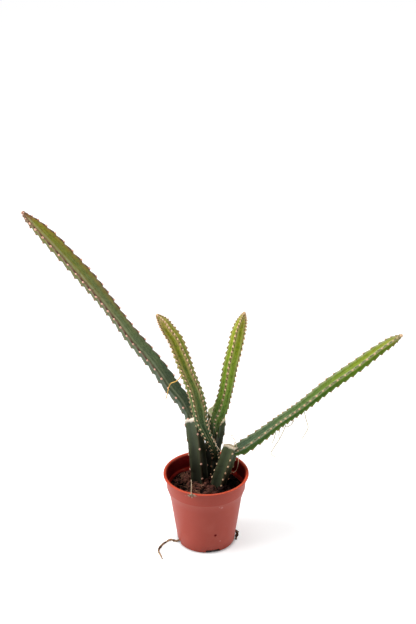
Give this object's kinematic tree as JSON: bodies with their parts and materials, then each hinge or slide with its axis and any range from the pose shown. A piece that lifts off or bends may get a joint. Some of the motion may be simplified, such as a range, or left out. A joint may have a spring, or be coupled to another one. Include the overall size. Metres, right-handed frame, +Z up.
{
  "type": "potted night-blooming cereus",
  "caption": "Ribbed night-blooming cereus cuttings with long slim shoots, standing in soil in a round plastic nursery pot.",
  "frame": {"origin": "on the pot's axis, in the middle of its foot, on the surface that it stands on", "axes": "+Z up, -Y is the front that the picture shows, +X to its right, along the spread of the long shoots"},
  "size_m": [0.4384, 0.105, 0.4207],
  "materials": {
    "pot_plastic": "satin moulded terracotta-coloured plastic",
    "peat": "moist fibrous peat",
    "stem": "waxy green cactus skin with pale areoles",
    "root": "dry tan root"
  },
  "bodies": {
    "root": {"pot": "pot_plastic", "soil": "peat", "left_plant": "stem", "right_plant": "stem", "back_plant": "stem", "left_drain_root": "root", "right_drain_root": "root"}
  },
  "joints": []
}
